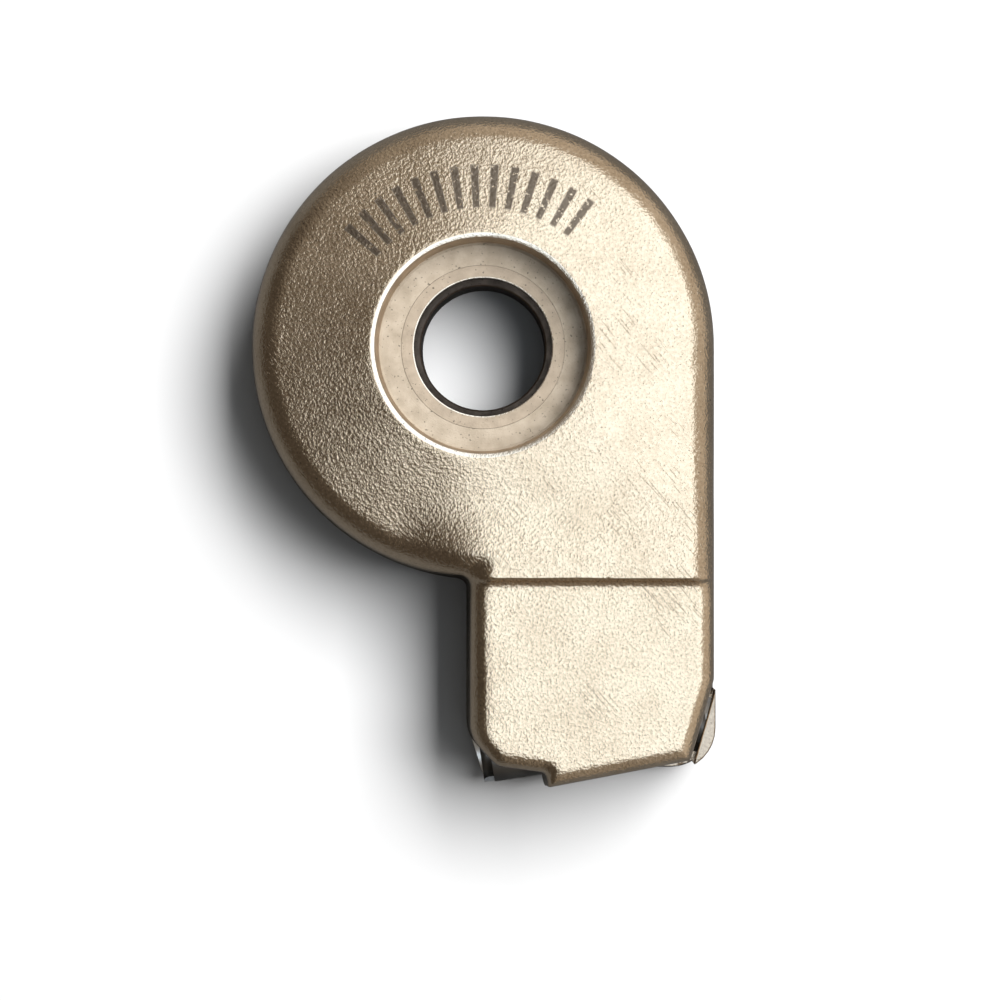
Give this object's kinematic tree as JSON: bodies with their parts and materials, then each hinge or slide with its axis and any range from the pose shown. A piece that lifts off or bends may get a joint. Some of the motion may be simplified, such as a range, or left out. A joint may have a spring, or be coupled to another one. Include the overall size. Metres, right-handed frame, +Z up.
{
  "type": "wire rope clip",
  "caption": "Screw-down wire rope clip, P-shaped: a counterbored round head and a side nose whose two jaws close on a rope crossing it at a slant.",
  "frame": {"origin": "on the screw axis, in the base jaw's flat underside", "axes": "+Z up along the screw axis, out of the counterbore; the nose points along -Y, and its outer wall is on the +X side"},
  "size_m": [0.024, 0.0347, 0.0085],
  "materials": {
    "cast_skin": "blasted cast skin, warm nickel plate, satin",
    "cast_base": "blasted cast skin, warm nickel plate, satin",
    "turned_bush": "fine turned, warm satin",
    "saddle_steel": "smooth pressed, satin",
    "pin_steel": "turned, satin",
    "spring_steel": "drawn wire, satin"
  },
  "bodies": {
    "base": {"base_jaw": "cast_base", "screw_sleeve": "turned_bush", "lower_saddle": "saddle_steel", "spring_left": "spring_steel", "spring_right": "spring_steel", "spring_nose": "spring_steel"},
    "upper": {"clip_body": "cast_skin", "seat_bush": "turned_bush", "upper_saddle": "saddle_steel", "guide_pin_left": "pin_steel", "guide_pin_right": "pin_steel", "guide_pin_nose": "pin_steel"}
  },
  "joints": [
    {"name": "jaw_slide", "type": "slide", "parent": "base", "child": "upper", "axis": [0, 0, 1], "range_m": [-0.0005, 0], "stiffness_N_per_m": 300, "springref_m": 0.0012, "deforming": ["spring_left", "spring_right", "spring_nose"]}
  ]
}
